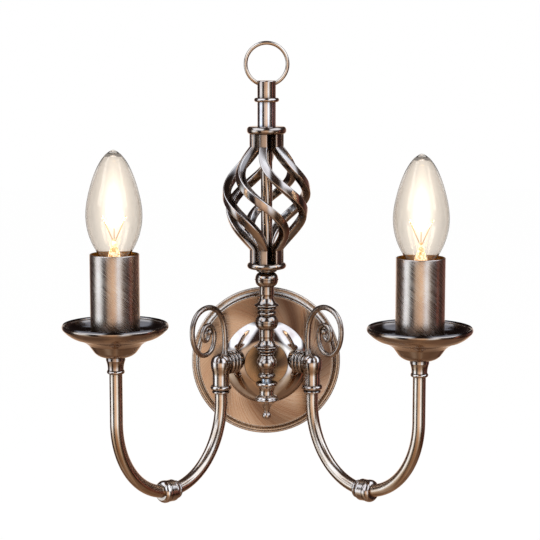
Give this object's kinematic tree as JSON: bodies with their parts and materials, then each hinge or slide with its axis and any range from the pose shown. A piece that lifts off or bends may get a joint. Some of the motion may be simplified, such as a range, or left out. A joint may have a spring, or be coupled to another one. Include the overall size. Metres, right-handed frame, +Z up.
{
  "type": "double arm wall sconce",
  "caption": "Wall light with a round backplate, a turned column holding a twisted open basket, and curved tube arms carrying bare candle bulbs on drip pans.",
  "frame": {"origin": "centre of the backplate's rim, in the plane of the wall", "axes": "+Z up, -Y out of the wall towards the viewer, +X to the viewer's right"},
  "size_m": [0.256, 0.1208, 0.2966],
  "materials": {
    "antique_brass": "antique brown brass, lacquered, part polished",
    "zinc_steel": "zinc plated",
    "plain_brass": "plain machined",
    "terminal_nylon": "natural nylon",
    "wire_sleeving": "pale insulated two-core wire",
    "holder_ceramic": "unglazed",
    "bulb_glass": "clear",
    "nickel_cap": "nickel plated screw cap",
    "filament_wire": "bright wire"
  },
  "bodies": {
    "frame": {"wall_bar": "zinc_steel", "wall_stud": "zinc_steel", "bar_nut": "zinc_steel", "sleeve_nut": "zinc_steel", "finial_stud": "zinc_steel", "terminal_screws": "zinc_steel", "earth_screw": "zinc_steel", "terminal_block": "terminal_nylon", "terminal_inserts": "plain_brass", "backplate": "antique_brass", "dome_cup": "antique_brass", "dome_cap": "antique_brass", "column_vase": "antique_brass", "vase_ring": "antique_brass", "finial": "antique_brass", "lower_spindle": "antique_brass", "upper_spindle": "antique_brass", "basket_bottom_collar": "antique_brass", "basket_core_rod": "antique_brass", "basket_bar_1": "antique_brass", "basket_bar_2": "antique_brass", "basket_bar_3": "antique_brass", "basket_bar_4": "antique_brass", "basket_bar_5": "antique_brass", "basket_bar_6": "antique_brass", "basket_top_collar": "antique_brass", "upper_rod": "antique_brass", "ferrule_collar": "antique_brass", "ring_ferrule": "antique_brass", "top_ring": "antique_brass", "column_tie_rod": "zinc_steel", "arm_boss_left": "antique_brass", "acorn_left": "antique_brass", "scroll_left": "antique_brass", "arm_tube_left": "antique_brass", "arm_knuckle_left": "antique_brass", "lamp_ferrule_left": "antique_brass", "drip_pan_left": "antique_brass", "candle_sleeve_left": "antique_brass", "arm_wire_left": "wire_sleeving", "lampholder_left": "holder_ceramic", "arm_boss_right": "antique_brass", "acorn_right": "antique_brass", "scroll_right": "antique_brass", "arm_tube_right": "antique_brass", "arm_knuckle_right": "antique_brass", "lamp_ferrule_right": "antique_brass", "drip_pan_right": "antique_brass", "candle_sleeve_right": "antique_brass", "arm_wire_right": "wire_sleeving", "lampholder_right": "holder_ceramic", "lamp_nipples": "zinc_steel", "pan_nuts": "plain_brass", "holder_contacts": "plain_brass"},
    "bulb_left": {"bulb_glass_left": "bulb_glass", "bulb_cap_left": "nickel_cap", "bulb_filament_left": "filament_wire"},
    "bulb_right": {"bulb_glass_right": "bulb_glass", "bulb_cap_right": "nickel_cap", "bulb_filament_right": "filament_wire"}
  },
  "joints": [
    {"name": "bulb_left_lift", "type": "slide", "parent": "frame", "child": "bulb_left", "axis": [0, 0, 1], "range_m": [0, 0.038]},
    {"name": "bulb_right_lift", "type": "slide", "parent": "frame", "child": "bulb_right", "axis": [0, 0, 1], "range_m": [0, 0.038]}
  ]
}
